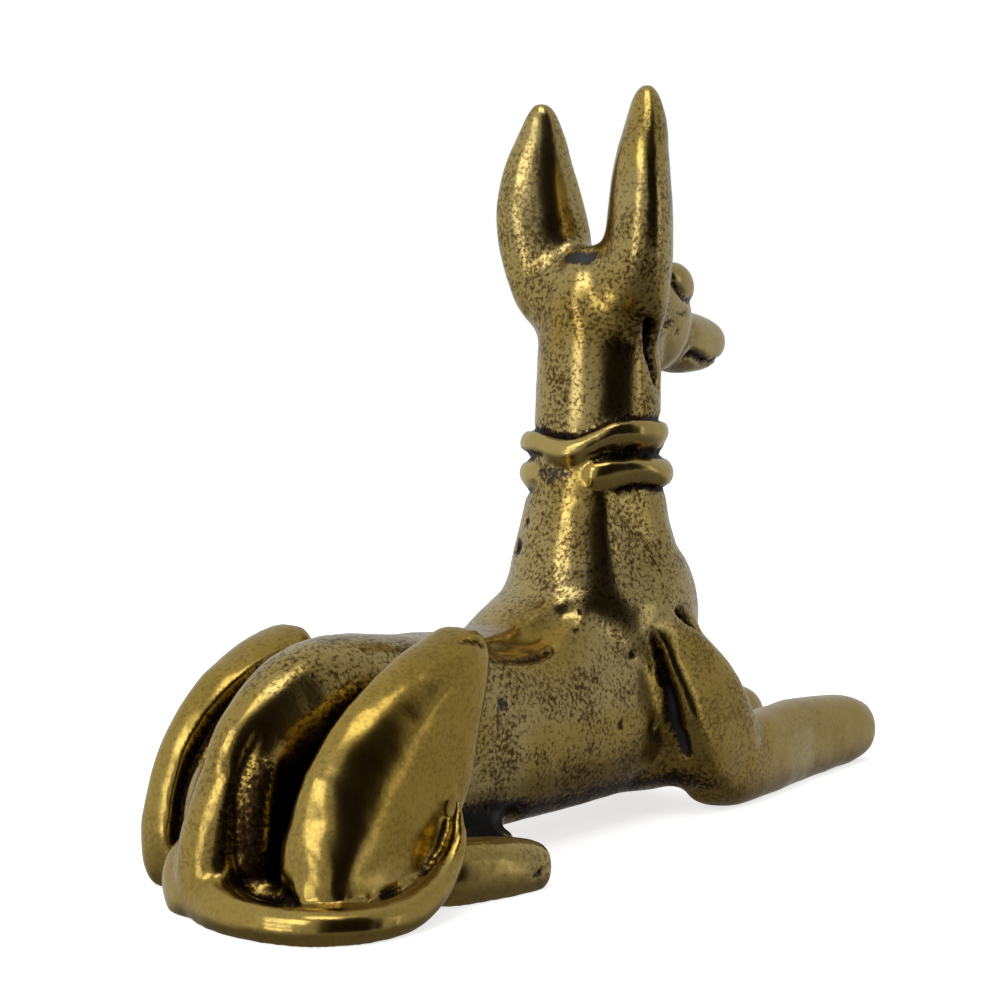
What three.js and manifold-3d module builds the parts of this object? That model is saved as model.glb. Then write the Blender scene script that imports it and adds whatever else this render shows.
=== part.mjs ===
// A small jackal figurine of antiqued brass, cast in one piece. The animal lies down with its head up: tall
// ears, a twice-wound collar, leaf-shaped haunches, straight forelegs, and a tail that drops behind the rump
// and curls round the right haunch. It stands on the flats under its feet, forelegs and tail.
// Millimetres, +Z up, the animal faces +X and its left side is +Y. The origin is on the table, under the middle
// of its length and width.
import * as THREE from "three";
import { mergeVertices } from "three/addons/utils/BufferGeometryUtils.js";
import Module from "manifold-3d";

const HEIGHT = 42; // table to ear tips
const COLLAR_CORD = 1.65; // thickness of each turn of the collar
const COLLAR_SINK = 0.75; // how deep a turn sits in the neck
const TURN_RISE = 2.05; // from one turn of the collar to the next
const NAPE_DIP = 1.2; // how far the upper turn sags at the nape
const LIP_GAP = 0.35; // height of the slit between the lips
const LIP_DEPTH = 1; // how wide that slit's cut is, from the cheek inwards
const JAW_GROOVE = 0.8; // width of the groove behind each jaw
const EAR_TURN = 20; // degrees that each ear faces outwards
const RIGHT_RISE = 0.4; // how far the upper turn rises on the right of the throat
const NAPE_SINK = 0.45; // how much deeper the lower turn lies at the nape, under the upper one

// The stations below are drawn on an animal of this height, and the real one takes its shares from them.
const DRAWN_HEIGHT = 42;
const SCALE = HEIGHT / DRAWN_HEIGHT;

const BRASS = new THREE.MeshStandardMaterial({ name: "brass", color: 0x9a8148, roughness: 0.28, metalness: 1 });
const ACROSS = new THREE.Vector3(0, 1, 0);
const UP = new THREE.Vector3(0, 0, 1);

const wasm = await Module();
wasm.setup();

// Stations are [x, y, z, half width, half height]. What comes in pairs is drawn on the right, the -Y side.
const BODY = [
  [-30.6, 0, 3.6, 1.4, 3.6],
  [-28.6, 0, 5.0, 2.4, 5.2],
  [-24.0, 0, 6.1, 3.4, 5.7],
  [-18.0, 0, 6.6, 4.5, 5.3],
  [-11.0, 0, 6.6, 4.8, 5.2],
  [-5.0, 0, 6.9, 5.1, 5.4],
  [0.0, 0, 7.2, 5.0, 5.8],
  [5.4, 0, 7.4, 3.4, 4.4],
];
const NECK = [
  [-2.4, 0, 4.0, 4.6, 6.4],
  [-1.2, 0, 8.4, 5.1, 7.0],
  [-0.4, 0, 12.2, 5.1, 6.5],
  [-0.6, 0, 15.2, 4.65, 5.3],
  [-0.5, 0, 18.6, 4.0, 4.2],
  [-0.2, 0, 22.4, 3.6, 3.65],
  [0.0, 0, 27.0, 3.55, 3.6],
  [0.2, 0, 32.7, 3.2, 3.4],
];
const WITHERS = [
  [-14.0, 0, 8.0, 3.2, 3.0],
  [-8.8, 0, 8.8, 4.3, 3.4],
  [-5.4, 0, 10.2, 4.5, 3.7],
  [-3.0, 0, 13.2, 4.2, 3.2],
];
const HAUNCH = [
  [-18.9, -5.0, 12.1, 1.3, 1.4],
  [-20.5, -5.1, 10.4, 1.7, 3.1],
  [-22.9, -5.2, 8.0, 2.1, 4.4],
  [-25.3, -5.2, 5.0, 2.2, 5.35],
  [-27.9, -5.1, 1.2, 2.0, 4.9],
];
const SEAT = [
  [-28.0, -5.4, 1.2, 2.6, 1.8],
  [-28.2, 0, 1.6, 2.8, 2.2],
  [-28.0, 5.4, 1.2, 2.6, 1.8],
];
const HIND_FOOT = [
  [-27.0, -5.6, 1.4, 1.6, 1.8],
  [-24.6, -6.9, 1.2, 1.6, 1.7],
  [-21.0, -8.0, 1.0, 1.45, 1.55],
  [-17.0, -8.8, 0.95, 1.35, 1.5],
];
const TAIL = [
  [-22.0, 0, 9.4, 2.2, 2.2],
  [-26.4, 0, 8.4, 2.3, 2.3],
  [-29.6, 0, 6.4, 1.8, 1.8],
  [-30.9, 0.1, 4.0, 1.4, 1.4],
  [-31.2, 0, 1.8, 1.4, 1.3],
  [-31.9, -2.2, 0.8, 1.15, 1.1],
  [-32.2, -5.0, 0.7, 0.95, 1.0],
  [-31.4, -7.5, 0.7, 0.9, 0.95],
  [-29.3, -8.8, 0.7, 0.9, 0.95],
  [-26.8, -8.9, 0.9, 0.9, 0.95],
  [-24.9, -8.7, 1.7, 0.8, 0.85],
  [-23.6, -8.5, 3.1, 0.65, 0.65],
  [-22.9, -8.1, 5.0, 0.5, 0.5],
];
const RUMP_RIDGE = [
  [-27.2, -1.8, 8.2, 0.6, 0.8],
  [-29.3, -2.0, 5.2, 0.7, 1.0],
  [-29.3, -2.3, 0.6, 0.9, 1.0],
];
const UPPER_ARM = [
  [-0.9, -4.3, 12.2, 1.3, 1.3],
  [1.4, -5.1, 9.4, 1.9, 2.2],
  [3.1, -5.6, 6.9, 2.1, 2.4],
  [4.1, -5.8, 4.2, 2.15, 2.4],
  [4.0, -5.8, 0.9, 2.1, 2.6],
];
const FOREARM = [
  [1.8, -5.7, 2.1, 1.9, 2.4],
  [7.0, -5.3, 2.4, 1.9, 2.8],
  [14.0, -4.8, 2.3, 1.75, 2.8],
  [19.5, -4.5, 2.1, 1.85, 2.5],
  [24.5, -4.4, 1.7, 1.9, 2.1],
];
const SKULL = [
  [-1.8, 0, 29.4, 2.9, 2.8],
  [1.5, 0, 29.2, 3.4, 3.5],
  [4.8, 0, 28.9, 3.2, 3.4],
  [8.1, 0, 28.3, 2.3, 2.6],
];
const MUZZLE = [
  [4.0, 0, 28.3, 2.5, 2.5],
  [8.0, 0, 27.95, 1.95, 2.05],
  [10.6, 0, 27.95, 1.65, 1.75],
  [12.5, 0, 28.2, 1.5, 1.45],
];
const EYE = [
  [2.4, -2.2, 31.1, 0.9, 0.9],
  [4.4, -2.1, 31.4, 1.15, 1.15],
  [6.4, -1.7, 30.4, 1.0, 1.0],
];
const EAR = [
  [0.9, -2.8, 26.8, 1.5, 1.6],
  [-0.2, -3.1, 30.2, 2.5, 1.8],
  [-0.9, -3.5, 33.6, 2.85, 1.5],
  [-1.1, -3.75, 36.4, 2.65, 1.35],
  [-1.15, -3.85, 39.0, 2.1, 1.2],
  [-0.9, -3.95, 42.0, 1.6, 1.2],
];
const EAR_HOLLOW = [
  [1.5, -3.6, 29.8, 1.1, 0.6],
  [0.7, -4.1, 32.8, 1.9, 1.1],
  [0.5, -4.4, 36.0, 1.8, 1.1],
  [0.3, -4.4, 40.2, 0.9, 0.7],
];
// The lips' line and the jaw's back edge are only places, and their cuts take the widths named above.
const LIPS = [
  [5.6, -3.2, 26.2],
  [6.9, -2.4, 26.8],
  [8.9, -2.0, 26.4],
  [11.0, -1.7, 26.7],
  [13.4, -0.2, 26.9],
];
const JAW_EDGE = [
  [0.2, -4.1, 29.6],
  [1.1, -3.9, 27.4],
  [2.3, -3.5, 25.0],
];
const COLLAR_HEIGHT = 19.9; // of the lower turn's middle
const COLLAR_MIDDLE = -0.3; // of both turns, from the neck's axis
const NECK_RADIUS = 3.7; // under the collar
// Angles round the collar, in radians from the front towards the left, and the half width of what happens there.
const NAPE = { at: Math.PI, dip: 0.95, sink: 0.5 };
const RIGHT_SIDE = { at: -1.9, rise: 0.8 };

const RING_SPREAD = 1.2; // above 1, the rings of a form stand closer in its middle and wider at its ends
const STATION_STEP = 0.01; // keeps two stations of one size apart on the curve of sizes

const mirrored = (stations) => stations.map(([x, y, ...rest]) => [x, -y, ...rest]);

function curveThrough(points) {
  return new THREE.CatmullRomCurve3(points, false, "centripetal");
}

// The closed geometry of a three.js shape, as a solid that can be joined and cut.
function solid(geometry) {
  geometry.deleteAttribute("normal");
  geometry.deleteAttribute("uv");
  const merged = mergeVertices(geometry, 1e-4);
  return new wasm.Manifold(
    new wasm.Mesh({
      numProp: 3,
      vertProperties: merged.attributes.position.array,
      triVerts: new Uint32Array(merged.index.array),
    }),
  );
}

// A rounded form along the curve through its stations: a sphere's grid, ring by ring. Its ends are round when blunt
// is 2, and fuller above that, and square does the same to its section. The half widths lie along `across`, which
// is carried along the curve without a twist.
function form(stations, { sides = 16, rings = 16, blunt = 2.5, square = 2, across = ACROSS } = {}) {
  const line = curveThrough(stations.map(([x, y, z]) => new THREE.Vector3(x, y, z).multiplyScalar(SCALE)));
  const widths = stations.map(([, , , w, h], i) => new THREE.Vector3(w * SCALE, h * SCALE, STATION_STEP * i));
  const size = curveThrough(widths);
  const geometry = new THREE.SphereGeometry(1, sides, rings);
  const place = geometry.attributes.position;
  const wide = across.clone();
  for (let ring = rings; ring >= 0; ring--) {
    const pole = Math.cos((Math.PI * ring) / rings);
    const t = (1 + Math.sign(pole) * Math.abs(pole) ** RING_SPREAD) / 2;
    const full = ring === 0 || ring === rings ? 0 : (1 - Math.abs(pole) ** blunt) ** (1 / blunt);
    const centre = line.getPoint(t);
    const along = line.getTangent(t);
    const halves = size.getPoint(t);
    wide.addScaledVector(along, -wide.dot(along)).normalize();
    const tall = along.clone().cross(wide);
    for (let side = 0; side <= sides; side++) {
      const angle = (2 * Math.PI * (side % sides)) / sides;
      const [c, s] = [Math.cos(angle), Math.sin(angle)];
      const reach = full / (Math.abs(c) ** square + Math.abs(s) ** square) ** (1 / square);
      const point = centre.clone();
      point.addScaledVector(wide, c * halves.x * reach);
      point.addScaledVector(tall, s * halves.y * reach);
      place.setXYZ(ring * (sides + 1) + side, point.x, point.y, point.z);
    }
  }
  return solid(geometry);
}

function pair(stations, options = {}) {
  const across = options.across ?? ACROSS;
  const left = { ...options, across: new THREE.Vector3(-across.x, across.y, across.z) };
  return form(stations, options).add(form(mirrored(stations), left));
}

// A cut of the width and height given, in millimetres, that follows a drawn line on each side.
function cuts(points, width, height) {
  const halves = [width / 2 / SCALE, height / 2 / SCALE];
  return pair(points.map((point) => [...point, ...halves]), { sides: 6, rings: 10 });
}

// A smooth bump of height 1 round an angle, and of the half width given.
function bump(angle, middle, halfWidth) {
  const away = Math.atan2(Math.sin(angle - middle), Math.cos(angle - middle)) / halfWidth;
  return Math.abs(away) < 1 ? Math.cos((away * Math.PI) / 2) ** 2 : 0;
}

// One turn of the collar: a ring round the neck, whose cord rises and sinks with the angle from the front.
function turn(height, rise, sink) {
  const around = NECK_RADIUS * SCALE + COLLAR_CORD / 2 - COLLAR_SINK;
  const geometry = new THREE.TorusGeometry(around, COLLAR_CORD / 2, 8, 32);
  const place = geometry.attributes.position;
  for (let i = 0; i < place.count; i++) {
    const angle = Math.atan2(place.getY(i), place.getX(i));
    const inward = 1 - sink(angle) / around;
    place.setXYZ(i, place.getX(i) * inward, place.getY(i) * inward, place.getZ(i) + height + rise(angle));
  }
  geometry.translate(COLLAR_MIDDLE * SCALE, 0, 0);
  return solid(geometry);
}

// The upper turn sags at the nape onto the lower one, which sinks into the neck there, and rises on the right.
function collar() {
  const low = COLLAR_HEIGHT * SCALE;
  const sunk = (angle) => NAPE_SINK * bump(angle, NAPE.at, NAPE.sink);
  const raised = (angle) => RIGHT_RISE * bump(angle, RIGHT_SIDE.at, RIGHT_SIDE.rise);
  const sag = (angle) => raised(angle) - NAPE_DIP * bump(angle, NAPE.at, NAPE.dip);
  return turn(low, () => 0, sunk).add(turn(low + TURN_RISE, sag, () => 0));
}

function ears() {
  const across = ACROSS.clone().applyAxisAngle(UP, THREE.MathUtils.degToRad(-EAR_TURN));
  return pair(EAR, { across, sides: 14, rings: 16 }).subtract(pair(EAR_HOLLOW, { across, sides: 12, rings: 10 }));
}

function head() {
  const whole = form(SKULL, { sides: 16, rings: 12 }).add(form(MUZZLE, { sides: 14, rings: 10, blunt: 3 }));
  return whole.add(pair(EYE, { sides: 10, rings: 10 }));
}

function hindquarters() {
  const haunches = pair(HAUNCH, { sides: 16, rings: 18, blunt: 3.2 }).add(pair(RUMP_RIDGE, { sides: 8, rings: 8 }));
  const seat = form(SEAT, { sides: 12, rings: 8, blunt: 4, across: new THREE.Vector3(1, 0, 0) });
  return haunches.add(seat).add(pair(HIND_FOOT, { sides: 12, rings: 10, blunt: 4 }));
}

function forelegs() {
  return pair(UPPER_ARM, { sides: 14, rings: 12 }).add(pair(FOREARM, { sides: 14, rings: 14, blunt: 4 }));
}

// Everything below the table is ground off, which leaves the flats that the figure stands on.
function belowTable() {
  const block = new THREE.BoxGeometry(4 * HEIGHT, 4 * HEIGHT, HEIGHT);
  block.translate(0, 0, -HEIGHT / 2);
  return solid(block);
}

function trunk() {
  const neck = form(NECK, { sides: 16, rings: 18, blunt: 5 });
  return form(BODY, { sides: 18, rings: 18, square: 2.6 }).add(neck).add(form(WITHERS, { rings: 10 }));
}

function jackal() {
  const tail = form(TAIL, { sides: 10, rings: 40, blunt: 4 });
  const whole = trunk().add(hindquarters()).add(forelegs()).add(tail).add(head()).add(ears());
  const grooved = whole.subtract(cuts(LIPS, LIP_DEPTH, LIP_GAP)).subtract(cuts(JAW_EDGE, JAW_GROOVE, JAW_GROOVE));
  return grooved.add(collar()).subtract(belowTable());
}

function meshOf(shape, name, material) {
  const { vertProperties, triVerts } = shape.getMesh();
  const geometry = new THREE.BufferGeometry();
  geometry.setAttribute("position", new THREE.BufferAttribute(vertProperties, 3));
  geometry.setIndex(new THREE.BufferAttribute(triVerts, 1));
  geometry.computeVertexNormals();
  const mesh = new THREE.Mesh(geometry, material);
  mesh.name = name;
  return mesh;
}

const figure = meshOf(jackal(), "jackal_figure", BRASS);
const middle = new THREE.Box3().setFromObject(figure).getCenter(new THREE.Vector3());
figure.position.set(-middle.x, -middle.y, 0);
const part = new THREE.Group();
part.add(figure);

export default part;
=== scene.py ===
"""A small reclining jackal of antiqued cast brass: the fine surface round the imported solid, and its stage.

The figure is built up as a caster's wax would be. Rounded forms are drawn ring by ring, fused, softened where
they meet, and then worked with strokes: grooves, ridges, creases and pits. Shapes are drawn in millimetres on
the solid's own axes, and go into the frame in metres at the end.
"""

import math

import bmesh
import bpy
import numpy as np
from bpy.props import FloatProperty, FloatVectorProperty, PointerProperty
from mathutils import Matrix, Vector, noise
from mathutils.bvhtree import BVHTree


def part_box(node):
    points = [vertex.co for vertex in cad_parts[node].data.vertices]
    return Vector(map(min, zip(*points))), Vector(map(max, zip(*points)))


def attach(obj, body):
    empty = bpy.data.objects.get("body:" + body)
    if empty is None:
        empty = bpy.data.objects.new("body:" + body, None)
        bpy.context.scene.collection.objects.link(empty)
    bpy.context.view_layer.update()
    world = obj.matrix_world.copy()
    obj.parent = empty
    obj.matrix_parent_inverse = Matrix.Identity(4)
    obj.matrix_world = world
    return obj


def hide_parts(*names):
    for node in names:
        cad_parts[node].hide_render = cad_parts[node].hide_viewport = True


bl_info = {
    "name": "Reclining jackal figurine",
    "version": (1, 0, 0),
    "blender": (4, 5, 0),
    "location": "3D View > Sidebar > Jackal",
    "description": "Makes the fine surface of a cast brass jackal round its packed solid, and a stage for it",
    "category": "Object",
}

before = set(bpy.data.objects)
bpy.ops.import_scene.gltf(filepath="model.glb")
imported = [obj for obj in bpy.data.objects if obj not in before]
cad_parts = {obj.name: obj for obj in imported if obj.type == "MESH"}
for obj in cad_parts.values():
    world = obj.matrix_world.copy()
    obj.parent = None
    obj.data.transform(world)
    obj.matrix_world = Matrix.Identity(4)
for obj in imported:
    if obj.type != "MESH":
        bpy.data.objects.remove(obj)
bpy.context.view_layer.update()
LOW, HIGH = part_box("jackal_figure")
MM = 0.001

# Where the drawn axes lie in the frame, from two points that the solid and the drawing share.
DRAWN_PAW_TIP = 24.5
DRAWN_TAIL_SIDE = -9.87
SHIFT = Vector((HIGH.x / MM - DRAWN_PAW_TIP, LOW.y / MM - DRAWN_TAIL_SIDE, 0))


# Settings

def linear(code):
    """An sRGB hex colour as the shader's linear one."""
    parts = [int(code[i:i + 2], 16) / 255 for i in (1, 3, 5)]
    return tuple(p / 12.92 if p <= 0.04045 else ((p + 0.055) / 1.055) ** 2.4 for p in parts) + (1.0,)


def length(name, description, default):
    """A setting that is a length in metres."""
    return FloatProperty(
        name=name, description=description, default=default, min=0, precision=5, unit="LENGTH"
    )


def colour(name, description, code):
    """A setting that is a colour, from its sRGB hex value."""
    return FloatVectorProperty(
        name=name, description=description, default=linear(code), size=4, min=0, max=1, subtype="COLOR"
    )


def factor(name, description, default):
    """A setting from nought to one."""
    return FloatProperty(name=name, description=description, default=default, min=0, max=1, subtype="FACTOR")


class JackalSizes(bpy.types.PropertyGroup):
    """The sizes of the figure's collar, and how finely the cast surface is drawn."""

    square: length("Square", "Side of the even squares that the cast surface is made of", 0.00023)
    collar_radius: length("Collar", "Radius of the collar's turns, to the middle of the cord", 0.003775)
    lower_cord: length("Lower cord", "Thickness of the collar's lower turn", 0.00185)
    upper_cord: length("Upper cord", "Thickness of the collar's upper turn", 0.0016)


class JackalBrass(bpy.types.PropertyGroup):
    """The colours and the gloss of the antiqued brass."""

    khaki: colour("Khaki", "Dull rubbed brass, on the neck and the body", "#b5a26a")
    gold: colour("Gold", "Warm rubbed brass, on the haunches, the tail and the arms", "#a58a3e")
    ridge: colour("Ridges", "The brightest brass, where hands have polished it", "#c2aa60")
    fleck: colour("Flecks", "The dark flecks that are left in the cast skin", "#54401d")
    # Brown and black are also the colours of the painted shade below, in the collar's creases and in the
    # recess behind the belly, and of a painted dark reflection beside the tail.
    brown: colour("Patina's edge", "The patina where it is thin", "#3a2812")
    black: colour("Patina", "The patina in the hollows", "#0e0d0d")
    lead: colour("Lead", "The patina where lead in the metal came to the surface", "#54585b")
    roughness: factor("Roughness", "Roughness of the rubbed metal", 0.2)
    mottling: factor("Mottling", "How strongly the flecks show", 1.0)


class JackalStage(bpy.types.PropertyGroup):
    """The floor, the lights and the camera's lens."""

    floor_radius: length("Floor", "Radius of the plain floor", 3.0)
    floor_colour: colour("Floor colour", "Colour of the plain floor", "#f2f1ee")
    light_distance: length("Lights", "Distance of the lights from the figure", 0.6)
    lens: FloatProperty(
        name="Lens", description="The camera's focal length in millimetres", default=64.8, min=1,
        unit="CAMERA"
    )


# The drawing

# Stations are (x, y, z, half width, half height) in millimetres. What comes in pairs is drawn on the right,
# the -Y side.
BODY = [
    (-30.2, 0, 3.8, 1.4, 3.0),
    (-28.2, 0, 5.0, 2.0, 4.8),
    (-24.0, 0, 6.15, 3.2, 6.15),
    (-18.0, 0, 6.2, 4.5, 5.7),
    (-11.0, 0, 6.2, 4.9, 5.35),
    (-5.0, 0, 6.25, 5.1, 5.45),
    (0.0, 0, 6.6, 5.2, 5.8),
    (3.2, 0, 6.9, 5.2, 6.8),
    (6.2, 0, 7.6, 4.2, 6.0),
]
BRISKET = [
    (-4.0, 0, 4.1, 3.8, 2.9),
    (-1.0, 0, 3.9, 4.6, 2.95),
    (2.5, 0, 3.8, 4.9, 3.1),
    (5.9, 0, 4.4, 3.6, 3.2),
]
NECK = [
    (-2.4, 0, 4.6, 4.8, 6.0),
    (-1.2, 0, 8.4, 5.2, 7.4),
    (-0.6, -0.1, 10.5, 5.5, 7.3),
    (-0.5, -0.2, 12.2, 5.45, 7.0),
    (-0.5, -0.15, 13.6, 5.15, 6.3),
    (-0.6, -0.05, 15.2, 4.7, 5.3),
    (-0.5, 0, 18.6, 4.0, 4.3),
    (-0.4, 0.05, 20.6, 4.05, 4.15),
    (-0.25, 0.1, 22.8, 3.75, 3.75),
    (-0.1, 0.1, 27.0, 3.8, 3.7),
    (-0.4, 0, 30.5, 3.1, 3.5),
    (-0.4, 0, 33.2, 2.4, 2.8),
]
WITHERS = [
    (-14.5, 0, 8.2, 3.6, 2.6),
    (-10.8, 0, 8.1, 4.3, 3.4),
    (-8.0, 0, 8.7, 4.5, 3.8),
    (-5.8, 0, 10.3, 4.5, 3.6),
    (-4.2, -0.1, 12.6, 4.2, 3.0),
    (-3.4, -0.1, 14.4, 3.6, 2.2),
]
HAUNCH = [
    (-18.8, -5.2, 12.55, 1.6, 0.8),
    (-19.65, -5.25, 11.7, 1.9, 1.3),
    (-21.1, -5.3, 10.3, 2.05, 2.25),
    (-22.5, -5.4, 8.9, 2.1, 3.1),
    (-23.8, -5.45, 7.4, 2.15, 3.8),
    (-25.1, -5.45, 5.9, 2.2, 4.1),
    (-26.5, -5.5, 4.25, 2.25, 4.15),
    (-27.95, -5.5, 3.0, 2.3, 3.6),
    (-29.4, -5.45, 2.1, 2.25, 2.6),
    (-30.3, -5.3, 1.5, 2.0, 1.4),
]
# Sections drawn as flats: a direction in degrees and a distance, on the circle that is then stretched.
HAUNCH_FLATS = [(0, 1.0), (41, 1.0), (90, 1.0), (180, 1.0), (233.4, 0.88), (260.7, 0.9), (318.7, 1.0)]
LEFT_HAUNCH_FLATS = [(0, 1.0), (41, 1.0), (90, 1.0), (180, 1.0), (233.4, 0.9), (260.7, 0.9), (307.8, 1.08)]
ARM_FLATS = [(0, 0.93), (60, 0.97), (120, 0.97), (180, 0.93), (270, 1.3)]
LEFT_HAUNCH = [
    (-20.3, 5.2, 12.1, 1.3, 0.7),
    (-21.0, 5.15, 11.4, 1.7, 1.2),
    (-22.3, 5.05, 10.1, 2.15, 2.1),
    (-23.5, 4.95, 8.7, 2.25, 2.95),
    (-24.7, 4.95, 7.1, 2.25, 3.5),
    (-25.7, 5.0, 5.4, 2.2, 3.75),
    (-26.6, 5.1, 3.7, 2.15, 3.5),
    (-27.5, 5.25, 2.1, 2.05, 2.9),
    (-28.2, 5.35, 0.8, 1.85, 2.1),
    (-28.8, 5.3, -0.2, 1.5, 1.4),
]
HAUNCH_ROLL = [
    (-31.0, -5.5, 1.9, 1.0, 1.0),
    (-29.4, -6.2, 1.85, 1.5, 1.25),
    (-27.4, -6.6, 1.95, 1.45, 1.3),
    (-25.4, -6.8, 2.4, 1.25, 1.25),
    (-23.9, -6.9, 3.6, 0.9, 1.0),
]
SEAT = [
    (-25.8, -8.4, 0.5, 2.3, 0.6),
    (-27.0, -6.4, 0.6, 2.7, 0.9),
    (-28.2, -3.2, 0.7, 3.0, 0.9),
    (-29.7, 0.8, 0.8, 2.9, 1.4),
    (-29.9, 2.0, 1.2, 2.0, 2.4),
    (-29.4, 3.0, 1.0, 1.6, 2.0),
]
HOCK = [
    (-26.5, -3.6, 1.9, 2.0, 2.4),
    (-21.5, -3.3, 1.9, 1.9, 2.4),
    (-17.0, -3.2, 1.6, 1.8, 2.0),
    (-13.4, -3.4, 1.0, 1.5, 1.3),
]
HIND_FOOT = [
    (-23.8, -6.6, 0.9, 1.1, 1.0),
    (-22.3, -7.0, 1.2, 1.5, 1.75),
    (-20.5, -7.55, 1.15, 1.55, 1.7),
    (-16.7, -8.55, 0.95, 1.4, 1.4),
]
TAIL = [
    (-20.0, 0, 8.4, 2.8, 3.4),
    (-24.5, 0, 7.9, 2.8, 3.6),
    (-27.0, 0, 6.9, 2.55, 3.2),
    (-29.0, 0, 5.6, 2.15, 2.4),
    (-30.3, 0, 4.2, 1.75, 1.7),
    (-31.0, 0.1, 2.5, 1.65, 1.4),
    (-31.4, -0.5, 1.2, 1.5, 1.2),
    (-32.0, -2.4, 0.8, 1.15, 1.1),
    (-32.1, -5.0, 0.7, 0.95, 1.0),
    (-31.2, -7.3, 0.7, 0.9, 0.95),
    (-29.2, -8.6, 0.7, 0.9, 0.95),
    (-26.8, -8.9, 0.9, 0.9, 0.95),
    (-24.7, -8.8, 1.8, 0.75, 0.8),
    (-23.35, -8.6, 3.1, 0.55, 0.6),
    (-22.85, -8.3, 4.3, 0.38, 0.42),
    (-22.6, -7.9, 5.5, 0.25, 0.3),
]
RUMP_RIDGE = [
    (-28.4, -1.8, 7.4, 0.6, 0.6),
    (-29.2, -1.85, 6.2, 0.8, 0.85),
    (-29.65, -1.9, 4.6, 0.85, 0.95),
    (-29.7, -2.0, 2.8, 0.9, 1.0),
    (-29.4, -2.05, 0.9, 0.9, 1.1),
]
UPPER_ARM = [
    (-1.9, -4.3, 12.7, 1.1, 1.1),
    (-0.2, -4.85, 10.6, 1.65, 1.9),
    (1.5, -5.2, 8.5, 1.95, 2.4),
    (2.9, -5.45, 6.5, 2.1, 2.8),
    (4.2, -5.6, 4.2, 2.15, 3.05),
    (5.1, -5.7, 2.2, 2.1, 3.1),
    (5.4, -5.75, 0.5, 2.0, 2.9),
]
FOREARM = [
    (2.0, -5.6, 2.1, 1.8, 2.1),
    (6.0, -5.5, 2.35, 1.95, 2.65),
    (10.2, -5.15, 2.35, 1.9, 2.65),
    (14.0, -4.8, 2.4, 1.8, 2.7),
    (18.0, -4.55, 2.3, 1.8, 2.55),
    (21.6, -4.4, 2.15, 1.85, 2.35),
    (24.2, -4.4, 1.9, 1.8, 2.0),
]
SKULL = [
    (-1.8, 0, 29.4, 2.9, 2.8),
    (1.5, 0, 29.2, 3.4, 3.5),
    (4.8, 0, 28.9, 3.2, 3.4),
    (8.1, 0, 28.3, 2.3, 2.6),
]
MUZZLE = [
    (4.0, 0, 28.3, 2.5, 2.5),
    (8.0, 0, 27.95, 1.95, 2.05),
    (10.6, 0, 27.95, 1.65, 1.75),
    (12.5, 0, 28.2, 1.5, 1.45),
]
FOREHEAD = [
    (0.6, 0, 31.2, 2.2, 1.25),
    (3.4, 0, 31.3, 2.6, 1.2),
    (5.8, 0, 30.4, 2.3, 1.15),
    (8.4, 0, 28.9, 1.3, 1.05),
]
EYE = [
    (2.4, -2.2, 31.1, 0.9, 0.9),
    (4.4, -2.1, 31.4, 1.15, 1.15),
    (6.4, -1.7, 30.4, 1.0, 1.0),
]
EAR = [
    (0.3, -2.2, 26.8, 1.3, 1.5),
    (-0.2, -2.6, 28.6, 1.8, 1.9),
    (-0.7, -2.95, 30.6, 2.5, 2.0),
    (-0.95, -3.35, 33.4, 2.9, 1.95),
    (-1.15, -3.55, 35.5, 2.85, 1.8),
    (-1.25, -3.7, 37.5, 2.4, 1.6),
    (-1.0, -3.8, 39.6, 1.75, 1.3),
    (-0.9, -3.8, 41.2, 1.15, 1.0),
    (-0.9, -3.8, 42.15, 0.8, 0.75),
]
LEFT_EAR = [
    (0.3, 2.2, 26.8, 1.3, 1.5),
    (-0.2, 2.6, 28.6, 1.8, 1.9),
    (-0.65, 3.0, 30.6, 2.5, 2.0),
    (-0.8, 3.55, 33.4, 2.8, 1.95),
    (-1.0, 3.8, 35.5, 2.7, 1.8),
    (-1.0, 3.9, 37.5, 2.3, 1.6),
    (-0.75, 3.95, 39.6, 1.65, 1.3),
    (-0.7, 3.95, 41.2, 1.1, 0.95),
    (-0.7, 3.95, 42.0, 0.75, 0.7),
]
EAR_ROOT = [
    (-0.9, -2.0, 27.4, 0.9, 1.2),
    (-1.45, -2.15, 29.4, 1.35, 1.5),
    (-1.5, -2.25, 31.0, 1.55, 1.5),
    (-1.3, -2.3, 32.4, 1.4, 1.2),
]

# Above 1, a form's rings stand closer in its middle and wider at its ends than a sphere's.
RING_SPREAD = 1.2
# How sharp the corners between flats are.
FLATS_SHARP = 10
# How far the flat ears are turned out of the plane across the head.
EAR_TURN = math.radians(45)

# The collar: its middle along the body and the height of its lower turn.
COLLAR_MIDDLE = -0.3
COLLAR_HEIGHT = 19.9
CORD_SIDES = 16
TURN_STEPS = 96
# Degrees round the neck, and millimetres. The lower turn runs level, and sinks in where it is crossed. The
# upper turn rises over it there, and stands out or sinks in.
LEVEL = [(0, 0), (360, 0)]
UPPER_RISE = [(0, 2.2), (60, 2.1), (120, 1.75), (145, 1.75), (160, 1.7), (170, 1.55), (178, 1.4),
              (188, 1.22), (197, 1.35), (205, 1.55), (212, 1.85), (220, 2.17), (228, 2.4), (240, 2.52),
              (270, 2.5), (310, 2.4), (360, 2.2)]
LOWER_SINK = [(0, 0.1), (120, 0), (160, 0), (168, 0.35), (176, 1.0), (188, 1.2), (195, 0.95), (202, 0.4),
              (210, 0), (250, 0), (310, 0.2), (360, 0.1)]
UPPER_SINK = [(0, 0.1), (90, 0), (130, -0.08), (165, -0.15), (200, -0.15), (215, 0), (250, 0.05),
              (310, 0.38), (360, 0.1)]
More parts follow.
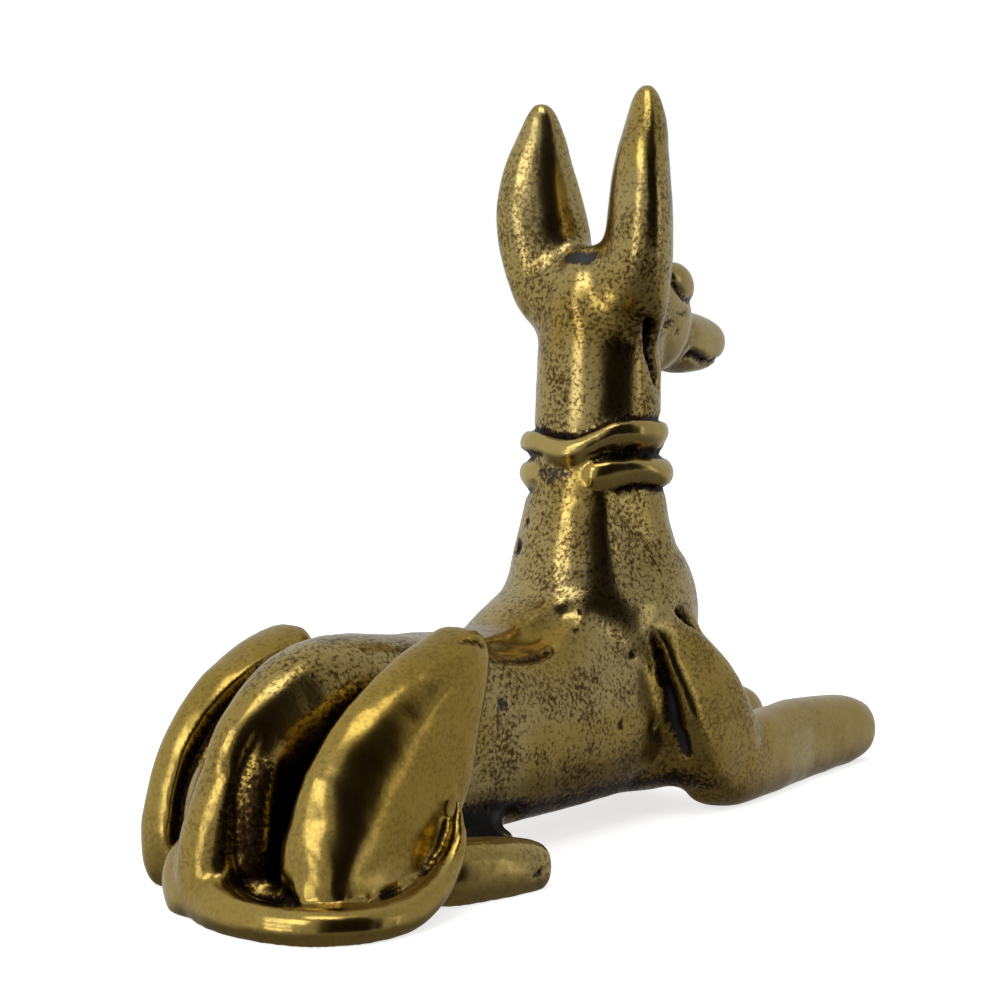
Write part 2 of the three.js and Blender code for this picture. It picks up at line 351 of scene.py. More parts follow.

# The creases over, between and under the turns, left dark with patina and with painted shade: from and to
# which degree, how far above the lower turn, the share of the upper turn's rise that is added, how far out,
# the half width, the height and how dark each is left.
CREASES = [
    (60, 420, 0.95, 1.0, 4.0, 0.34, -0.3, 1.0),
    (206, 526, 0.0, 0.5, 3.9, 0.4, -0.4, 1.0),
    (126, 174, 0.35, 0.5, 4.4, 0.22, -0.2, 1.0),
    (212, 528, -1.05, 0.0, 4.15, 0.32, -0.25, 1.0),
]
CREASE_STEP = 12

# The rounds of the first softening, and what it spares: the collar's place and a radius, and the share of its
# edges that is kept.
SKIN_ROUNDS = 4
COLLAR_PLACE = ((COLLAR_MIDDLE, 0, 21), 6.5)
COLLAR_KEPT = 0.7

# Where the forms run together softly: a middle, a radius and the rounds of filling.
FILLETS = [
    ((-8.0, 0.0, 12.0), 7.0, 70),
    ((-1.6, -3.0, 30.0), 4.5, 160),
    ((-1.6, 3.0, 30.0), 4.5, 160),
    ((-1.0, 0.0, 33.5), 3.2, 30),
    ((-5.0, -4.0, 12.0), 4.0, 160),
    ((1.5, -4.0, 11.5), 4.0, 60),
    ((0.8, -4.8, 8.0), 4.5, 40),
    ((2.2, -4.4, 1.5), 3.6, 140),
    ((6.4, -5.4, 5.0), 2.8, 80),
    ((6.4, 5.4, 5.0), 2.8, 80),
]
# Where the surface is softened all over after that: a middle and a radius, and the rounds. The right side of
# the neck is pressed flat on a plane, a point and the way it faces, after the withers and before the rest.
WITHERS_SOFT = ((-6.5, -1.5, 12.0), 5.5)
WITHERS_ROUNDS = 40
NECK_FACET = (Vector((-1.6, -3.85, 16.0)), Vector((-0.2, -0.95, 0.26)).normalized())
NECK_SIDE = ((-2.5, -3.8, 16.4), 4.2)
NECK_FOOT = ((-3.5, -2.5, 14.8), 4.5)
NECK_ROUNDS = 14
SOFTENED = [
    ((0.2, -5.2, 10.2), 3.0, 16),
    ((-9.0, -4.0, 10.0), 3.6, 30),
    ((-5.8, -3.2, 12.8), 3.6, 60),
    ((1.4, -7.0, 3.6), 3.2, 60),
    ((1.4, 7.0, 3.6), 3.2, 60),
]
# The upper end of the golden fold, which is softened once it is drawn.
FOLD_END = ((-6.4, -3.2, 12.6), 2.4)
FOLD_END_ROUNDS = 14
# The slight waves of the cast skin: how many go to a millimetre and the share of each, and the height of all.
WAVES = [(0.55, 1.0), (1.3, 0.35)]
WAVE_HEIGHT = 0.045

# Strokes: a line of (x, y, z, half width) near the surface, how far it is raised, or pressed in where that is
# below nought, and how dark it is left. Those of the first list are made on both sides.
STROKES_ON_BOTH_SIDES = [
    # between the body and the upper arm
    ([(-2.4, -5.1, 11.1, 0.3), (-1.4, -5.3, 9.4, 0.45), (-0.5, -5.4, 7.6, 0.55), (0.2, -5.6, 5.9, 0.6),
      (0.9, -5.7, 4.8, 0.6), (1.15, -5.6, 3.8, 0.5)], -0.4, 0.85),
    # the slit in front of the shoulder
    ([(-0.3, -5.5, 12.1, 0.3), (0.6, -5.7, 11.6, 0.42), (1.2, -5.8, 11.2, 0.42),
      (1.9, -5.9, 10.7, 0.35)], -0.8, 1.0),
    # the corner of the mouth and the lips
    ([(6.7, -1.3, 26.5, 0.26), (6.95, -1.7, 26.95, 0.3), (7.4, -1.7, 27.0, 0.34), (8.4, -1.5, 26.8, 0.34),
      (9.6, -1.2, 26.55, 0.3)], -0.34, 1.0),
    ([(9.6, -1.2, 26.55, 0.3), (10.9, -0.9, 26.9, 0.3), (12.2, -0.3, 27.4, 0.3)], -0.25, 0.8),
    # the seam behind the lips
    ([(7.1, -1.7, 29.4, 0.3), (7.1, -1.9, 28.5, 0.34), (7.0, -1.8, 27.6, 0.34),
      (6.9, -1.5, 26.7, 0.3)], -0.14, 0.3),
    # the lid under the brow, and the corner of the eye
    ([(2.9, -2.8, 31.5, 0.22), (3.5, -3.0, 30.8, 0.26), (4.4, -3.0, 30.3, 0.28), (5.4, -2.8, 30.2, 0.28),
      (6.2, -2.2, 30.2, 0.24)], -0.22, 0.8),
    ([(3.0, -3.3, 29.45, 0.24), (3.8, -3.3, 29.4, 0.26), (4.6, -3.1, 29.5, 0.24)], -0.16, 0.7),
    # the top of the cheek
    ([(0.9, -3.9, 28.4, 0.3), (2.0, -3.4, 28.6, 0.34), (3.0, -3.3, 28.9, 0.3)], -0.2, 0.7),
    # behind the jaw
    ([(-1.2, -4.0, 29.0, 0.42), (-0.6, -3.9, 28.0, 0.55), (-0.1, -3.7, 27.0, 0.58), (0.5, -3.5, 25.8, 0.5),
      (0.9, -3.2, 24.9, 0.4)], -0.9, 1.0),
    # the hollow of the ear
    ([(0.4, -3.3, 32.0, 1.0), (0.5, -3.7, 35.0, 1.25), (0.3, -3.8, 38.0, 1.0),
      (-0.1, -3.9, 40.8, 0.6)], -0.7, 0.6),
]
STROKES = [
    # the groove on the left of the rump, and the shallow ones beside the tail
    ([(-22.3, 3.3, 11.3, 0.5), (-24.3, 3.5, 10.4, 0.55), (-25.8, 3.6, 9.5, 0.6), (-27.6, 3.8, 8.0, 0.6),
      (-28.8, 3.9, 6.2, 0.55), (-29.4, 4.0, 4.3, 0.5), (-29.8, 4.0, 2.4, 0.5),
      (-30.4, 3.8, 0.7, 0.45)], -0.45, 0.9),
    ([(-28.9, -1.3, 8.6, 0.35), (-30.0, -1.3, 7.0, 0.4), (-30.6, -1.4, 5.5, 0.45), (-30.8, -1.5, 4.2, 0.45),
      (-30.6, -1.6, 2.6, 0.45)], -0.2, 0.55),
    # under the haunch, inside the tail's turn
    ([(-30.8, -2.8, 1.9, 0.45), (-30.6, -4.0, 1.6, 0.45), (-29.9, -5.6, 1.2, 0.4), (-28.4, -7.0, 1.0, 0.35),
      (-26.6, -7.7, 1.1, 0.3)], -0.2, 1.0),
    # the fold from the withers to the flank, and the crease below it
    ([(-14.2, -3.0, 11.1, 0.8), (-12.0, -3.0, 11.2, 1.3), (-9.6, -2.9, 11.6, 1.5), (-7.8, -3.0, 12.3, 1.2),
      (-6.8, -3.0, 12.9, 0.7)], -0.36, 0.0),
    ([(-14.4, -3.4, 10.6, 0.3), (-12.3, -3.6, 10.35, 0.4), (-10.6, -3.6, 10.45, 0.42),
      (-8.9, -3.6, 10.9, 0.35)], -0.14, 0.6),
    # the raised line down the back of the neck
    ([(-4.6, -0.7, 18.6, 1.0), (-5.3, -0.9, 16.8, 1.4), (-5.8, -1.0, 15.1, 1.6),
      (-6.5, -1.3, 13.7, 1.4)], 0.1, 0.0),
    # the crown between the ears
    ([(-2.2, 1.1, 32.9, 0.5), (-2.4, 0.4, 32.5, 0.75), (-2.45, -0.6, 32.4, 0.8),
      (-2.5, -1.5, 32.6, 0.55)], -0.05, 0.8),
    # the lower turn of the collar, buried where the upper one crosses it
    ([(-4.5, 1.4, 20.1, 0.6), (-4.65, 0.6, 19.9, 0.9), (-4.65, -0.3, 19.9, 1.0),
      (-4.5, -1.3, 20.0, 0.7)], 0.0, 0.42),
    # the dark side of the tail and the brown flank beside it, a painted dark reflection
    ([(-30.6, -1.3, 6.6, 0.4), (-31.1, -1.3, 5.2, 0.5), (-31.4, -1.4, 3.8, 0.5),
      (-31.5, -1.6, 2.4, 0.5)], 0.0, 0.55),
    ([(-28.9, -2.2, 7.6, 0.8), (-29.9, -2.2, 6.2, 1.0), (-30.5, -2.3, 4.4, 1.1), (-30.4, -2.3, 2.6, 1.1),
      (-30.0, -2.3, 1.4, 1.0)], 0.0, 0.65),
    # the recess between the belly and the hind foot, dark with patina and with painted shade
    ([(-20.5, -5.2, 3.3, 0.8), (-18.5, -4.9, 3.1, 1.1), (-16.8, -4.6, 2.8, 1.2), (-15.2, -4.3, 2.4, 1.2),
      (-13.8, -4.2, 2.2, 1.1), (-12.0, -3.4, 1.6, 0.9)], -0.45, 1.0),
    ([(-18.6, -5.0, 1.9, 0.7), (-16.4, -4.7, 1.9, 0.8), (-14.6, -4.4, 1.6, 0.8)], -0.2, 1.0),
    # the tip of the haunch
    ([(-20.6, -6.3, 12.7, 0.26), (-19.8, -6.7, 12.4, 0.3), (-19.2, -7.1, 11.9, 0.26)], -0.16, 0.6),
]

# How a stroke is drawn: points from one of its stations to the next, rounds of smoothing along its path, how
# far past its width vertices are looked for, the share of it along which each end fades, and what is left of
# it there.
STROKE_POINTS = 20
STROKE_ROUNDS = 6
STROKE_MARGIN = 1.2
STROKE_FADE = 0.12
STROKE_END = 0.2

# The golden fold from the withers to the flank: its middle, how far it is free of flecks and how far it is
# gold, and how free of flecks it is.
GOLDEN_FOLD = (-10.2, -3.0, 11.6)
FOLD_RUBBED = 3.6
FOLD_GOLD = 4.2
FOLD_FREE = 0.7

# Where the patina is grey instead of brown: a place and a radius.
LEADEN = [
    ((0.7, -5.3, 4.6), 2.4), ((0.0, -5.6, 6.6), 1.6), ((-2.4, -0.4, 32.4), 1.9), ((-4.7, 0.0, 19.8), 1.7),
    ((-14.9, -4.5, 8.3), 1.2), ((-14.5, -4.4, 2.1), 0.9), ((1.6, -5.8, 11.0), 0.8),
]
# Casting pits and stains: a place, a radius, a depth and how dark they are left.
PITS = [
    ((-6.6, -3.3, 12.4), 0.34, 0.04, 0.9),
    ((-7.4, -3.7, 11.5), 0.32, 0.05, 0.8),
    ((-3.5, -4.7, 9.7), 0.34, 0.16, 0.8),
    ((-5.0, -5.1, 6.0), 0.36, 0.2, 1.0),
    ((-1.9, -5.1, 5.5), 0.34, 0.15, 0.8),
    ((-2.7, -3.7, 17.4), 0.5, 0.14, 0.8),
    ((-4.8, 1.8, 17.1), 0.36, 0.2, 0.9),
    ((-5.0, 2.4, 15.6), 0.7, 0.22, 0.9),
    ((-14.9, -4.5, 8.3), 0.75, 0.06, 0.5),
    ((-18.4, -9.6, 0.9), 0.4, 0.12, 0.8),
    ((3.3, -3.2, 28.2), 0.34, 0.1, 0.7),
    ((-1.6, -3.9, 29.2), 0.9, 0.0, 0.5),
    ((13.3, -0.55, 28.35), 0.38, 0.16, 0.9),
    ((13.3, 0.55, 28.35), 0.38, 0.16, 0.9),
]

# How strongly parts of the figure are mottled, where it isn't fully: the limits of x, of the distance to the
# side and of z, and the share. Where parts overlap, the last one counts.
FAR = math.inf
MOTTLED = [
    # the ears, the arms, the forelegs and the face
    ({"z": (34, FAR)}, 0.75),
    ({"x": (-3, FAR), "side": (4.4, FAR), "z": (-FAR, 12)}, 0.7),
    ({"x": (8, FAR), "z": (-FAR, 7)}, 0.25),
    ({"x": (2.4, FAR), "z": (24, FAR)}, 0.2),
    # the haunches, the rump, and the tail's turn
    ({"x": (-FAR, -18.5), "side": (3.3, FAR)}, 0.35),
    ({"x": (-FAR, -28), "side": (-FAR, 2.6)}, 0.55),
    ({"x": (-FAR, -21), "z": (-FAR, 2.3)}, 0.2),
]
MOTTLE_ROUNDS = 30
# How golden parts of the figure are, in the same way. Elsewhere the metal is khaki.
GOLDEN = [
    # the haunches, the rump and the tail, and the tail's turn
    ({"x": (-FAR, -18.0), "side": (3.2, FAR), "z": (2.6, FAR)}, 1.0),
    ({"x": (-FAR, -28)}, 0.8),
    ({"x": (-FAR, -22), "z": (-FAR, 2.3)}, 0.8),
    # the arms, and the flanks
    ({"x": (-2.5, 8), "side": (4.2, FAR), "z": (-FAR, 11)}, 0.8),
    ({"x": (-13, -2), "z": (2, 7)}, 0.7),
]
GOLDEN_ROUNDS = 12
# The collar's cords are rubbed nearly clean on their outer side: the share of flecks left, how far past the
# cord that reaches, and how far out of its middle it begins.
CORD_MOTTLE = 0.08
CORD_MARGIN = 0.12
CORD_FRONT = 0.3

# What makes patina, polish and the painted shade below: a gain, an offset and the most that comes of it.
# Heights are in millimetres, and how far the skin faces down is from -1 to 1.
PATINA_BY_SKY = (-2.6, 1.43, 1.0)
PATINA_BY_FINE_HOLLOWS = (5.0, -0.15, 0.6)
PATINA_BY_BROAD_HOLLOWS = (1.2, -0.4, 0.3)
POLISH_BY_RIDGES = (-1.6, -0.1, 1.0)
POLISH_BY_FEW_FLECKS = (-4.0, 0.8, 1.0)
# Painted shade: the belly, above the feet and below the flanks, and whatever faces down are darkened as if in
# shade.
BELLY_SHADE_BY_FACING = (1.0, -0.1, 1.0)
BELLY_SHADE_BELOW_FLANKS = (-1 / 3, 5 / 3, 1.0)
BELLY_SHADE_ABOVE_FEET = (1.0, -1.2, 1.0)
BELLY_SHADE_SHARE = 0.8
DOWNWARD_SHADE_BY_FACING = (1.0, -0.5, 1.0)
DOWNWARD_SHADE_SHARE = 0.6
# Rounds of smoothing that a vertex's surroundings are taken from, for fine hollows and for broad ones.
FINE_ROUNDS = 8
BROAD_ROUNDS = 50


# Curves and forms

def blend(points, share):
    """The centripetal curve through the points, at a share of its stations."""
    last = len(points) - 1
    place = min(max(share, 0), 1) * last
    first = min(int(place), last - 1)
    away = place - first
    b, c = points[first], points[first + 1]
    a = points[first - 1] if first else 2 * b - c
    d = points[first + 2] if first + 2 <= last else 2 * c - b
    least = 1e-4
    ab, bc, cd = (max(np.linalg.norm(q - p) ** 0.5, least) for p, q in ((a, b), (b, c), (c, d)))
    leaving = ((b - a) / ab - (c - a) / (ab + bc) + (c - b) / bc) * bc
    arriving = ((c - b) / bc - (d - b) / (bc + cd) + (d - c) / cd) * bc
    rest = 1 - away
    return (
        b * (1 + 2 * away) * rest**2
        + c * (3 - 2 * away) * away**2
        + leaving * away * rest**2
        - arriving * rest * away**2
    )


def form(bm, stations, sides=32, rings=48, blunt=2.5, square=2.0, across=(0, 1, 0), flats=None):
    """A rounded form along its stations: a sphere's rings, set along the curve and carried without a twist.

    Its section is a squared ellipse, or one with the given flats, each a direction in degrees and a distance.
    """
    apart = 0.01
    step = 1e-3
    quarters = [(0, 1), (90, 1), (180, 1), (270, 1)]
    line = [np.array(station[:3], float) for station in stations]
    # The third part keeps stations of one size apart on the curve.
    size = [np.array((station[3], station[4], apart * i)) for i, station in enumerate(stations)]
    ball = bmesh.ops.create_uvsphere(bm, u_segments=sides, v_segments=rings, radius=1)["verts"]
    levels = sorted({round(v.co.z, 5) for v in ball})
    sharp = FLATS_SHARP if flats else square
    flats = [(math.radians(turned), away) for turned, away in flats or quarters]
    wide = Vector(across)
    places = {}
    for level in levels:
        t = (1 + math.copysign(abs(level) ** RING_SPREAD, level)) / 2
        along = Vector(blend(line, min(t + step, 1)) - blend(line, max(t - step, 0))).normalized()
        wide = (wide - along * wide.dot(along)).normalized()
        full = max(1 - abs(level) ** blunt, 0) ** (1 / blunt)
        places[level] = (Vector(blend(line, t)), wide.copy(), along.cross(wide), full, blend(size, t))
    for v in ball:
        centre, wide, tall, full, half = places[round(v.co.z, 5)]
        angle = math.atan2(v.co.y, v.co.x)
        pressed = sum(max(math.cos(angle - turned) / away, 0) ** sharp for turned, away in flats)
        reach = full / pressed ** (1 / sharp)
        sideways = wide * (math.cos(angle) * half[0] * reach)
        upwards = tall * (math.sin(angle) * half[1] * reach)
        v.co = centre + sideways + upwards


def mirrored(stations):
    """The stations on the other side of the body."""
    return [(x, -y, *rest) for x, y, *rest in stations]


def pair(bm, stations, across=(0, 1, 0), **shape):
    """One form on the right side and its mirror image on the left."""
    form(bm, stations, across=across, **shape)
    form(bm, mirrored(stations), across=(-across[0], across[1], across[2]), **shape)


def round_neck(table, angle):
    """A value of one of the collar's tables at an angle in radians."""
    degrees, values = zip(*table)
    return float(np.interp(math.degrees(angle) % 360, degrees, values))


def turn(bm, radius, cord, rise, sink):
    """One turn of the collar, spun round the neck and then bent."""
    ring = bmesh.ops.create_circle(bm, segments=CORD_SIDES, radius=cord / 2)["verts"]
    stand = Matrix.Translation((radius, 0, 0)) @ Matrix.Rotation(math.pi / 2, 4, "X")
    bmesh.ops.transform(bm, matrix=stand, verts=ring)
    edges = list({e for v in ring for e in v.link_edges})
    before = set(bm.verts) - set(ring)
    bmesh.ops.spin(
        bm, geom=edges, axis=(0, 0, 1), cent=(0, 0, 0), angle=2 * math.pi, steps=TURN_STEPS, use_merge=True
    )
    for v in set(bm.verts) - before:
        angle = math.atan2(v.co.y, v.co.x)
        inward = 1 - round_neck(sink, angle) / radius
        up = COLLAR_HEIGHT + round_neck(rise, angle)
        v.co = Vector((v.co.x * inward + COLLAR_MIDDLE, v.co.y * inward, v.co.z + up))


def collar_creases():
    """The creases over, between and under the collar's turns, as strokes."""
    strokes = []
    for start, end, lift, share, reach, width, height, left in CREASES:
        line = []
        for degrees in np.linspace(start, end, int(abs(end - start) / CREASE_STEP) + 1):
            angle = math.radians(degrees)
            up = COLLAR_HEIGHT + share * round_neck(UPPER_RISE, angle) + lift
            line.append((COLLAR_MIDDLE + reach * math.cos(angle), reach * math.sin(angle), up, width))
        strokes.append((line, height, left))
    return strokes


def rough_cast(sizes):
    """The fused forms, as one mesh of even squares."""
    bm = bmesh.new()
    form(bm, BODY, blunt=4, square=2.5)
    form(bm, BRISKET, blunt=5, square=2.5)
    form(bm, NECK, blunt=5)
    form(bm, WITHERS)
    form(bm, HAUNCH, sides=64, rings=72, blunt=6, flats=HAUNCH_FLATS)
    form(bm, LEFT_HAUNCH, sides=64, rings=72, blunt=6, flats=LEFT_HAUNCH_FLATS)
    form(bm, HAUNCH_ROLL)
    pair(bm, HOCK, blunt=4)
    pair(bm, RUMP_RIDGE)
    form(bm, SEAT, blunt=4, across=(1, 0, 0))
    pair(bm, HIND_FOOT, blunt=6, square=2.4)
    form(bm, TAIL, sides=24, rings=96, blunt=4)
    pair(bm, UPPER_ARM, flats=ARM_FLATS)
    pair(bm, FOREARM, blunt=7, square=2.4)
    form(bm, SKULL)
    form(bm, MUZZLE, blunt=3)
    form(bm, FOREHEAD)
    pair(bm, EYE)
    form(bm, EAR, across=(math.sin(EAR_TURN), math.cos(EAR_TURN), 0), blunt=4)
    form(bm, LEFT_EAR, across=(-math.sin(EAR_TURN), math.cos(EAR_TURN), 0), blunt=4)
    pair(bm, EAR_ROOT)
    turn(bm, sizes.collar_radius / MM, sizes.lower_cord / MM, LEVEL, LOWER_SINK)
    turn(bm, sizes.collar_radius / MM, sizes.upper_cord / MM, UPPER_RISE, UPPER_SINK)
    bmesh.ops.recalc_face_normals(bm, faces=bm.faces)
    mesh = bpy.data.meshes.new("jackal")
    bm.to_mesh(mesh)
    bm.free()
    piece = bpy.data.objects.new("jackal", mesh)
    bpy.context.scene.collection.objects.link(piece)
    fuse = piece.modifiers.new("fuse", "REMESH")
    fuse.mode = "VOXEL"
    fuse.voxel_size = sizes.square / MM
    bpy.context.view_layer.objects.active = piece
    bpy.ops.object.modifier_apply(modifier="fuse")
    return piece


# The surface

class Clay:
    """The figure's surface as arrays, in drawn millimetres, so that strokes can work it."""

    def __init__(self, mesh):
        self.mesh = mesh
        self.co = np.empty(len(mesh.vertices) * 3)
        mesh.vertices.foreach_get("co", self.co)
        self.co = self.co.reshape(-1, 3)
        edges = np.empty(len(mesh.edges) * 2, np.int32)
        mesh.edges.foreach_get("vertices", edges)
        self.a, self.b = edges.reshape(-1, 2).T
        self.count = len(self.co)
        self.valence = np.bincount(edges, minlength=self.count)
        self.look()

    def look(self):
        """Brings the mesh and the normals up to date."""
        self.mesh.vertices.foreach_set("co", self.co.ravel())
        self.mesh.update()
        normals = np.empty(self.count * 3, np.float32)
        self.mesh.vertex_normals.foreach_get("vector", normals)
        self.normal = normals.reshape(-1, 3).astype(float)

    def mean(self, values):
        """The mean of each vertex's neighbours."""
        a, b, n = self.a, self.b, self.count
        if values.ndim == 1:
            return (np.bincount(a, values[b], n) + np.bincount(b, values[a], n)) / self.valence
        return np.stack([self.mean(column) for column in values.T], 1)

    def spread(self, values, rounds):
        """The values, each evened out half way with its neighbours' in every round."""
        for _ in range(rounds):
            values = (values + self.mean(values)) / 2
        return values

    def smooth(self, rounds, mask=1.0, hollows_only=False):
        """Evens the surface out as far as the mask lets it, or only fills its hollows."""
        mask = np.broadcast_to(mask, self.count)
        for _ in range(rounds):
            step = (self.mean(self.co) - self.co) * (0.5 * mask)[:, None]
            if hollows_only:
                step *= ((step * self.normal).sum(1) > 0)[:, None]
            self.co = self.co + step
        self.look()

    def ball(self, centre, radius):
        """A soft mask round a point: 1 in the middle, 0 at the radius."""
        away = np.linalg.norm(self.co - np.array(centre, float), axis=1) / radius
        return np.clip(1 - away**2, 0, 1) ** 2

    def dome(self, centre, radius):
        """A fuller mask round a point, with a steeper edge."""
        return np.sqrt(self.ball(centre, radius))

    def within(self, **limits):
        """Which vertices lie between limits of x, side and z, where side is the distance from the middle."""
        inside = np.ones(self.count, bool)
        places = {"x": self.co[:, 0], "side": np.abs(self.co[:, 1]), "z": self.co[:, 2]}
        for way, (low, high) in limits.items():
            inside &= (low < places[way]) & (places[way] < high)
        return inside

    def painted(self, parts, elsewhere):
        """A value at each vertex, that of the last part it lies in."""
        values = np.full(self.count, elsewhere, float)
        for limits, value in parts:
            values[self.within(**limits)] = value
        return values

    def raise_by(self, heights):
        """Moves each vertex out along its normal."""
        self.co = self.co + self.normal * heights[:, None]
        self.look()

    def stroke(self, line, height):
        """Raises the surface along a line of stations, or presses it in. Returns its mark, from 0 to 1."""
        points = [np.array(p, float) for p in line]
        shares = np.linspace(0, 1, STROKE_POINTS * (len(points) - 1) + 1)
        drawn = np.array([blend(points, share) for share in shares])
        margin = drawn[:, 3].max() + STROKE_MARGIN
        near = (self.co > drawn[:, :3].min(0) - margin) & (self.co < drawn[:, :3].max(0) + margin)
        near = np.nonzero(near.all(1))[0]
        away = np.linalg.norm(self.co[near, None] - drawn[None, :, :3], axis=2)
        path = self.co[near[away.argmin(0)]]
        for _ in range(STROKE_ROUNDS):
            path[1:-1] = (path[:-2] + 2 * path[1:-1] + path[2:]) / 4
        away = np.linalg.norm(self.co[near, None] - path[None], axis=2)
        best = away.argmin(1)
        profile = np.clip(1 - (away.min(1) / drawn[best, 3]) ** 2, 0, 1) ** 2
        share = best / (len(drawn) - 1)
        mark = np.zeros(self.count)
        mark[near] = profile * np.clip(np.minimum(share, 1 - share) / STROKE_FADE + STROKE_END, 0, 1)
        self.raise_by(mark * height)
        return mark

    def press(self, plane, mask):
        """Presses what stands out past a plane flat on it, as far as the mask lets it."""
        point, facing = (np.array(v) for v in plane)
        out = np.maximum((self.co - point) @ facing, 0)
        self.co = self.co - facing * (out * mask)[:, None]
        self.look()

    def hollowness(self, rounds, pull=0.6):
        """How far each vertex lies below its smoothed surroundings, in millimetres."""
        level = self.co
        for _ in range(rounds):
            level = level + (self.mean(level) - level) * pull
        return ((level - self.co) * self.normal).sum(1)


def work_surface(clay):
    """Softens the joins, draws the strokes and punches the pits. Returns how dark they are left."""
    clay.smooth(SKIN_ROUNDS, 1 - np.clip(clay.dome(*COLLAR_PLACE) * 2, 0, COLLAR_KEPT))
    for centre, radius, rounds in FILLETS:
        clay.smooth(rounds, clay.dome(centre, radius), hollows_only=True)
    clay.smooth(WITHERS_ROUNDS, clay.ball(*WITHERS_SOFT))
    clay.press(NECK_FACET, clay.dome(*NECK_SIDE))
    clay.smooth(NECK_ROUNDS, clay.dome(*NECK_FOOT))
    for centre, radius, rounds in SOFTENED:
        clay.smooth(rounds, clay.ball(centre, radius))
    dark = np.zeros(clay.count)
    strokes = STROKES + collar_creases()
    for line, height, left in STROKES_ON_BOTH_SIDES:
        strokes += [(line, height, left), (mirrored(line), height, left)]
    for line, height, left in strokes:
        dark = np.maximum(dark, clay.stroke(line, height) * left)
    for place, radius, depth, left in PITS:
        pit = clay.ball(place, radius)
        clay.co = clay.co - clay.normal * (pit * depth)[:, None]
        dark = np.maximum(dark, np.sqrt(pit) * left)
    clay.smooth(FOLD_END_ROUNDS, clay.ball(*FOLD_END))
    waves = [sum(share * noise.noise(Vector(c) * often) for often, share in WAVES) for c in clay.co]
    clay.raise_by(np.array(waves) * WAVE_HEIGHT)
    clay.smooth(1)
    # What passes the plane that the figure stands on is flat there.
    clay.co[:, 2] = np.maximum(clay.co[:, 2], 0)
    clay.look()
    return dark


def openness(clay, rays=24, reach=9.0, every=6, lift=0.1, rounds=10):
    """The share of the sky over each vertex that nothing near hides.

    Rays go out from every so many vertices, a little above the surface, and the rest take it from those.
    """
    mesh = clay.mesh
    tree = BVHTree.FromPolygons([tuple(c) for c in clay.co], [tuple(p.vertices) for p in mesh.polygons])
    steps = (np.arange(rays) + 0.5) / rays
    around = np.arange(rays) * math.pi * (3 - math.sqrt(5))
    flat = np.sqrt(steps)
    dome = [Vector(ray) for ray in zip(flat * np.cos(around), flat * np.sin(around), np.sqrt(1 - steps))]
    known = np.zeros(clay.count)
    sky = np.zeros(clay.count)
    for i in range(0, clay.count, every):
        up = Vector(clay.normal[i])
        turned = up.to_track_quat("Z", "Y").to_matrix()
        start = Vector(clay.co[i]) + up * lift
        sky[i] = sum(tree.ray_cast(start, turned @ ray, reach)[0] is None for ray in dome) / rays
        known[i] = 1
    for _ in range(rounds):
        sky = sky + clay.mean(sky)
        known = known + clay.mean(known)
    return sky / np.maximum(known, 1e-9)


def mottle_of(clay, sizes):
    """How strongly the metal is mottled: fully on the torso and the neck, and less where it was rubbed."""
    share = clay.spread(clay.painted(MOTTLED, 1.0), MOTTLE_ROUNDS)
    share = share * (1 - FOLD_FREE * clay.dome(GOLDEN_FOLD, FOLD_RUBBED))
    x, y, z = clay.co.T
    out = np.hypot(x - COLLAR_MIDDLE, y)
    degrees = np.degrees(np.arctan2(y, x - COLLAR_MIDDLE)) % 360
    turns = ((sizes.lower_cord, LEVEL, LOWER_SINK), (sizes.upper_cord, UPPER_RISE, UPPER_SINK))
    for cord, rise, sink in turns:
        over = z - COLLAR_HEIGHT - np.interp(degrees, *zip(*rise))
        beside = out - sizes.collar_radius / MM + np.interp(degrees, *zip(*sink))
        on_cord = np.hypot(over, beside) < cord / MM / 2 + CORD_MARGIN
        share[on_cord & (beside > CORD_FRONT)] = CORD_MOTTLE
    return clay.spread(share, 2)


def made_by(values, gain, offset, most):
    """The values by a gain and an offset, from nought to the most."""
    return np.clip(values * gain + offset, 0, most)


